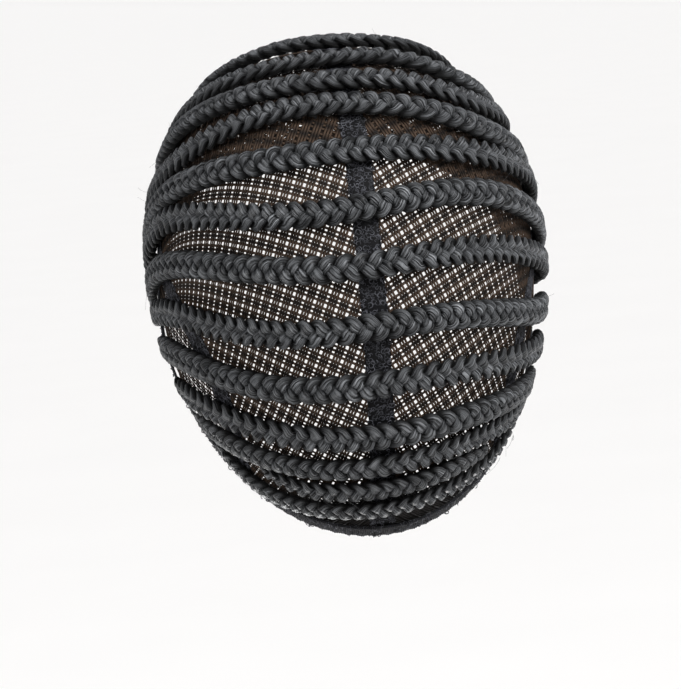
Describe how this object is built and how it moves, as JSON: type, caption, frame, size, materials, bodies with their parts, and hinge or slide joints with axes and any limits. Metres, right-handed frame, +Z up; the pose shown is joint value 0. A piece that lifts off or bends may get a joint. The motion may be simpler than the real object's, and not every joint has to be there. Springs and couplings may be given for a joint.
{
  "type": "cornrow wig cap",
  "caption": "Dome-shaped stretch-net wig cap with lace seam bands, an elastic hem and plaited cornrow braids sewn across it, worn on the head as a base for hair.",
  "frame": {"origin": "inside of the crown, where the top of a head touches the net", "axes": "+Z up along the worn head, +Y toward the face, so the back of the head is at -Y and the wearer's left is at -X"},
  "size_m": [0.1546, 0.188, 0.1856],
  "materials": {
    "net": "black-brown knitted nylon net, matt",
    "lace": "dense black lace ribbon, matt",
    "hem": "ribbed black elastic, matt",
    "hair": "plaited charcoal synthetic hair, soft sheen"
  },
  "bodies": {
    "root": {"net_back_left": "net", "net_back_right": "net", "net_side_left": "net", "net_side_right": "net", "centre_band": "lace", "side_band_left": "lace", "side_band_right": "lace", "edge_hem": "hem", "braid_row_01": "hair", "braid_row_02": "hair", "braid_row_03": "hair", "braid_row_04": "hair", "braid_row_05": "hair", "braid_row_06": "hair", "braid_row_07": "hair", "braid_row_08": "hair", "braid_row_09": "hair", "braid_row_10": "hair", "braid_row_11": "hair", "braid_row_12": "hair", "braid_row_13": "hair", "braid_row_14": "hair", "braid_row_15": "hair", "braid_row_16": "hair"}
  },
  "joints": []
}
